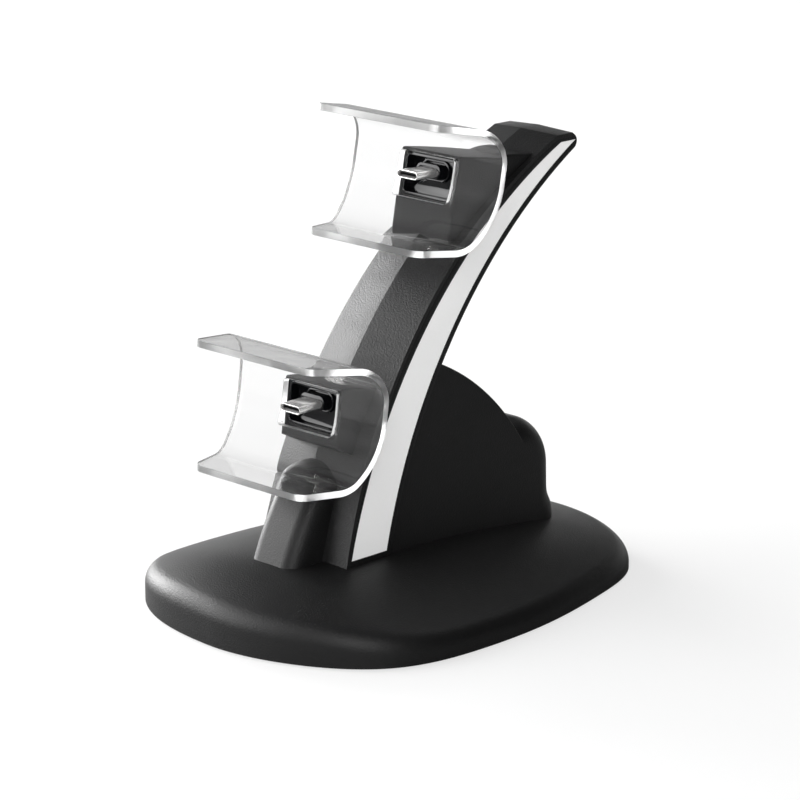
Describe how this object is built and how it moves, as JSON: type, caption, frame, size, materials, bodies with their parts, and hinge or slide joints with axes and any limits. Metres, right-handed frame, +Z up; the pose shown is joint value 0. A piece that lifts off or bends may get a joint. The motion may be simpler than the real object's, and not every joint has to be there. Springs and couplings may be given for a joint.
{
  "type": "controller charging dock",
  "caption": "Desk stand with a domed oval base and a leaning lit spine that holds clear C-shaped cradles around charging plugs.",
  "frame": {"origin": "on the table, under the middle of the base in plan", "axes": "+Z up, -Y towards the front, where the cradles open, +X to the right of a person who looks at the front"},
  "size_m": [0.115, 0.1501, 0.1448],
  "materials": {
    "matte_black": "finely grained matte",
    "gloss_black": "polished",
    "clear_plastic": "clear, polished",
    "diffuser": "milky translucent, satin",
    "polished_steel": "polished",
    "contact_black": "moulded",
    "led_chip": "satin",
    "chip_black": "moulded",
    "screw_steel": "zinc plated",
    "circuit_board": "solder mask",
    "cable_grey": "satin",
    "ballast_steel": "sheared and zinc plated",
    "rubber": "matte"
  },
  "bodies": {
    "root": {"ballast_plate": "ballast_steel", "base_bottom_plate": "matte_black", "base_screws": "screw_steel", "base_top_shell": "matte_black", "board_components": "chip_black", "board_screws": "screw_steel", "cover_screws": "screw_steel", "foot_screws": "screw_steel", "front_post": "matte_black", "led_board_left": "circuit_board", "led_board_right": "circuit_board", "led_chips_left": "led_chip", "led_chips_right": "led_chip", "led_lead_left": "cable_grey", "led_lead_right": "cable_grey", "light_diffuser_left": "diffuser", "light_diffuser_right": "diffuser", "lower_clear_bracket": "clear_plastic", "lower_connector_housing": "matte_black", "lower_plug_board": "circuit_board", "lower_plug_holder": "gloss_black", "lower_plug_shell": "polished_steel", "lower_plug_tongue": "contact_black", "lower_ribbon_cable": "cable_grey", "main_circuit_board": "circuit_board", "power_inlet_shell": "polished_steel", "power_inlet_tongue": "contact_black", "rear_fin_cover": "matte_black", "rubber_foot_front_left": "rubber", "rubber_foot_front_right": "rubber", "rubber_foot_rear_left": "rubber", "rubber_foot_rear_right": "rubber", "spine_core": "matte_black", "spine_front_cover": "matte_black", "upper_clear_bracket": "clear_plastic", "upper_connector_housing": "matte_black", "upper_plug_board": "circuit_board", "upper_plug_holder": "gloss_black", "upper_plug_shell": "polished_steel", "upper_plug_tongue": "contact_black", "upper_ribbon_cable": "cable_grey"}
  },
  "joints": []
}
